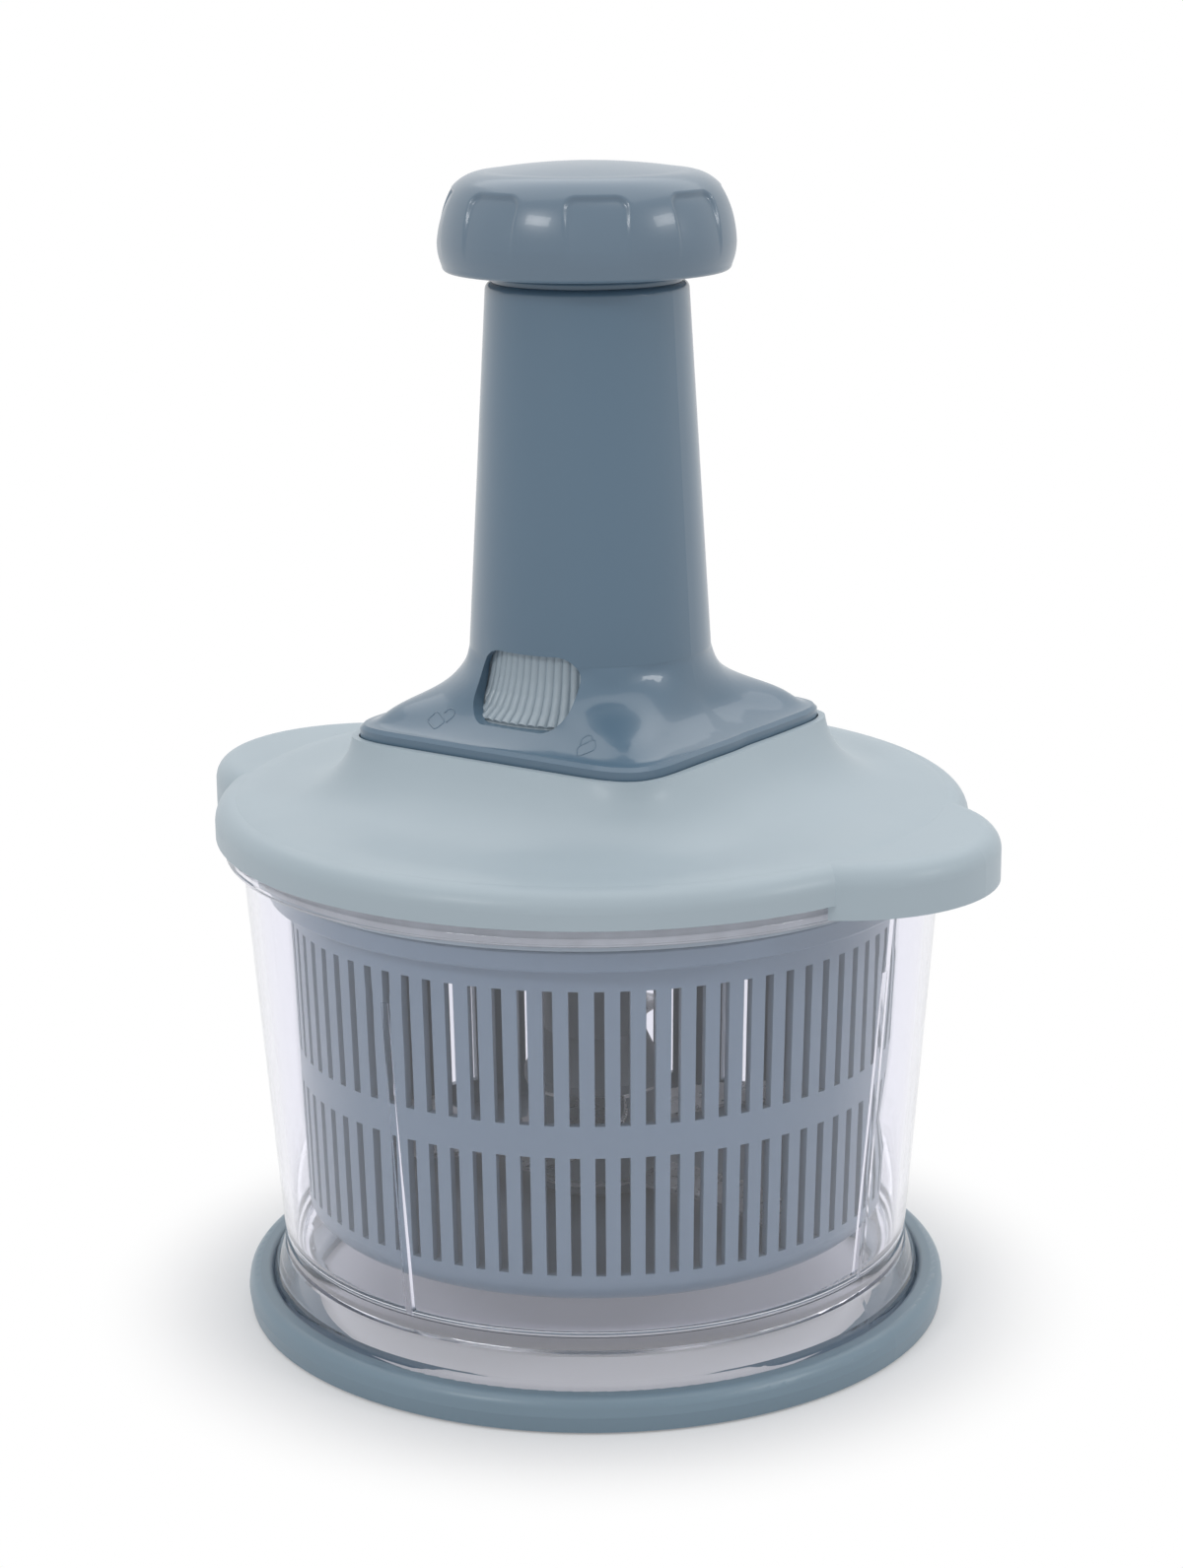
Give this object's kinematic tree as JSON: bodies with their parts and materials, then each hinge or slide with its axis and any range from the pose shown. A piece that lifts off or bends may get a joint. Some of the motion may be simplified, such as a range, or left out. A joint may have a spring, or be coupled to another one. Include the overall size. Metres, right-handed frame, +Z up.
{
  "type": "plunger food chopper",
  "caption": "Press-top food chopper and salad spinner: clear bowl, slotted basket, stacked blades, domed lid and a column with a push cap that turns the blades.",
  "frame": {"origin": "centre of the footprint, on the surface that the rubber feet stand on", "axes": "+Z up along the plunger axis; the two lid tabs lie along X; the lock slider is on the -Y side, which is the front"},
  "size_m": [0.231, 0.2, 0.3068],
  "materials": {
    "cap": "glossy",
    "column": "satin",
    "lid": "glossy",
    "slider": "satin",
    "basket": "glossy",
    "ring": "satin",
    "clear_bowl": "clear",
    "seal": "matt",
    "feet": "matt",
    "steel": "brushed",
    "inner_grey": "satin",
    "inner_white": "satin"
  },
  "bodies": {
    "base": {"base_tray": "ring", "rubber_feet": "feet"},
    "bowl": {"bowl": "clear_bowl", "bowl_pin": "steel"},
    "basket": {"basket": "basket"},
    "blades": {"blade_carrier": "inner_grey", "blade_upper": "steel", "blade_middle": "steel", "blade_lower": "steel", "spacer_upper": "inner_grey", "spacer_lower": "inner_grey", "blade_clamp_nut": "inner_grey"},
    "head": {"lid": "lid", "lid_seal": "seal", "column": "column", "guide_bush": "column", "base_plate": "inner_grey", "lid_screws": "steel", "plate_screws": "steel", "clutch_housing": "inner_grey", "thrust_washer": "steel", "return_spring": "steel"},
    "output": {"output_hub": "inner_white", "blade_socket": "inner_grey", "socket_screw": "steel"},
    "drive": {"twisted_rod": "inner_white", "clutch_driver": "inner_white", "spring_seat": "inner_grey"},
    "press": {"press_cap": "cap", "cap_cover": "cap", "plunger_tube": "inner_grey", "drive_nut": "inner_white", "cap_screw": "steel"},
    "lock": {"lock_ring": "slider", "lock_pad": "slider"}
  },
  "joints": [
    {"name": "bowl_lift", "type": "slide", "parent": "base", "child": "bowl", "axis": [0, 0, 1], "range_m": [0, 0.05]},
    {"name": "head_lift", "type": "slide", "parent": "bowl", "child": "head", "axis": [0, 0, 1], "range_m": [0, 0.15]},
    {"name": "press_slide", "type": "slide", "parent": "head", "child": "press", "axis": [0, 0, 1], "range_m": [0, 0.06], "deforming": ["return_spring"]},
    {"name": "drive_spin", "type": "hinge", "parent": "head", "child": "drive", "pos_m": [0, 0, 0.1], "axis": [0, 0, -1], "range_deg": [0, 480.5]},
    {"name": "output_spin", "type": "hinge", "parent": "head", "child": "output", "pos_m": [0, 0, 0.1], "axis": [0, 0, -1], "range_deg": [0, 480.5]},
    {"name": "blade_spin", "type": "hinge", "parent": "bowl", "child": "blades", "pos_m": [0, 0, 0.1], "axis": [0, 0, -1], "range_deg": [0, 480.5]},
    {"name": "basket_spin", "type": "hinge", "parent": "bowl", "child": "basket", "pos_m": [0, 0, 0.05], "axis": [0, 0, 1], "continuous": true},
    {"name": "lock_turn", "type": "hinge", "parent": "head", "child": "lock", "pos_m": [0, 0, 0.17], "axis": [0, 0, -1], "range_deg": [-18, 0]}
  ],
  "couplings": [
    {"joint": "drive_spin", "follows": "press_slide", "rad_per_m": 139.63},
    {"joint": "output_spin", "follows": "press_slide", "rad_per_m": 139.63},
    {"joint": "blade_spin", "follows": "press_slide", "rad_per_m": 139.63}
  ]
}
